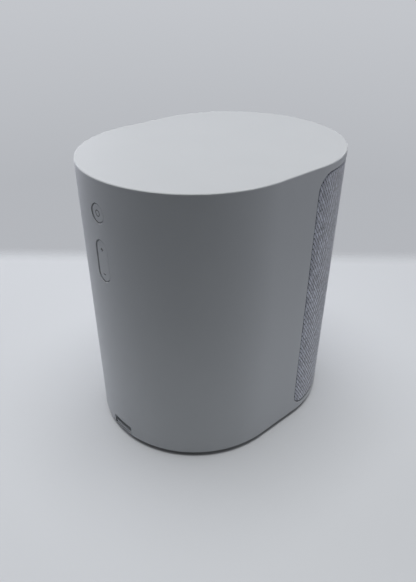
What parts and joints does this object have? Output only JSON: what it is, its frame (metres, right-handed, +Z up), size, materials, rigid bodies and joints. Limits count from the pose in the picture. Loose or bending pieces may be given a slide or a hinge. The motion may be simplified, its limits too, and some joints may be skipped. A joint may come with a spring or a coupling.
{
  "type": "smart speaker",
  "caption": "Compact smart speaker with straight sides, round ends and a flat top, a woven cover round the front, and a play button, volume rocker and cord notch at the rear.",
  "frame": {"origin": "on the standing surface under the middle of the body", "axes": "+X width, +Y depth towards the rear with the buttons, +Z up; the fabric front faces -Y"},
  "size_m": [0.112, 0.14, 0.151],
  "materials": {
    "sleeve": "fine satin moulding",
    "button": "fine satin moulding, marks in grey",
    "base": "satin",
    "inner_plastic": "moulded, matte",
    "cover_fabric": "light grey melange weave",
    "foot": "matte",
    "seal": "matte",
    "label": "blank film",
    "screw": "zinc plated",
    "driver_steel": "pressed and plated",
    "ferrite": "ground ceramic magnet",
    "spider_cloth": "resin-stiffened cloth",
    "cone": "pressed paper",
    "dome_silk": "coated silk",
    "copper": "enamelled copper wire",
    "board": "glass-epoxy board with solder mask",
    "tin": "tin plated",
    "heat_sink": "extruded",
    "capacitor": "can in a printed film sleeve, left blank",
    "transformer": "ferrite core with a taped winding",
    "inlet": "black moulding",
    "wire": "insulated pair"
  },
  "bodies": {
    "root": {"housing_sleeve": "sleeve", "cover_frame": "inner_plastic", "cover_fabric": "cover_fabric", "front_baffle": "inner_plastic", "rear_chamber": "inner_plastic", "box_screw_1": "screw", "box_screw_2": "screw", "box_screw_3": "screw", "box_screw_4": "screw", "woofer_basket": "driver_steel", "woofer_top_plate": "driver_steel", "woofer_magnet": "ferrite", "woofer_yoke": "driver_steel", "woofer_gasket": "seal", "woofer_surround": "seal", "woofer_spider": "spider_cloth", "woofer_screw_1": "screw", "woofer_screw_2": "screw", "woofer_screw_3": "screw", "woofer_screw_4": "screw", "tweeter_faceplate": "inner_plastic", "tweeter_magnet": "ferrite", "tweeter_surround": "seal", "tweeter_screw_1": "screw", "tweeter_screw_2": "screw", "button_bracket": "inner_plastic", "button_board": "board", "play_switch": "tin", "volume_up_switch": "tin", "volume_down_switch": "tin", "base_plate": "base", "foot_ring": "foot", "rating_plate": "label", "base_screw_1": "screw", "base_screw_2": "screw", "base_screw_3": "screw", "base_screw_4": "screw", "mains_inlet": "inlet", "service_port": "tin", "main_board": "board", "heat_sink": "heat_sink", "processor_shield": "tin", "wireless_module": "tin", "board_capacitor_1": "capacitor", "board_capacitor_2": "capacitor", "antenna_board_left": "board", "antenna_board_right": "board", "power_board": "board", "transformer": "transformer", "mains_capacitor": "capacitor", "mains_choke": "copper", "speaker_lead": "wire", "power_lead": "wire"},
    "play_button": {"play_button": "button"},
    "volume_rocker": {"volume_rocker": "button"},
    "woofer_cone": {"woofer_cone": "cone", "woofer_dust_cap": "cone", "woofer_voice_coil": "copper"},
    "tweeter_dome": {"tweeter_dome": "dome_silk"}
  },
  "joints": [
    {"name": "play_press", "type": "slide", "parent": "root", "child": "play_button", "axis": [0, -1, 0], "range_m": [0, 0.0005], "stiffness_N_per_m": 3000},
    {"name": "volume_rock", "type": "hinge", "parent": "root", "child": "volume_rocker", "pos_m": [0, 0.0636, 0.1111], "axis": [1, 0, 0], "range_deg": [-2.5, 2.5], "stiffness_Nm_per_rad": 0.3},
    {"name": "woofer_stroke", "type": "slide", "parent": "root", "child": "woofer_cone", "axis": [0, -1, 0], "range_m": [-0.003, 0.003], "stiffness_N_per_m": 1500, "deforming": ["woofer_surround", "woofer_spider"]},
    {"name": "tweeter_stroke", "type": "slide", "parent": "root", "child": "tweeter_dome", "axis": [0, -1, 0], "range_m": [-0.0003, 0.0003], "stiffness_N_per_m": 500, "deforming": ["tweeter_surround"]}
  ]
}
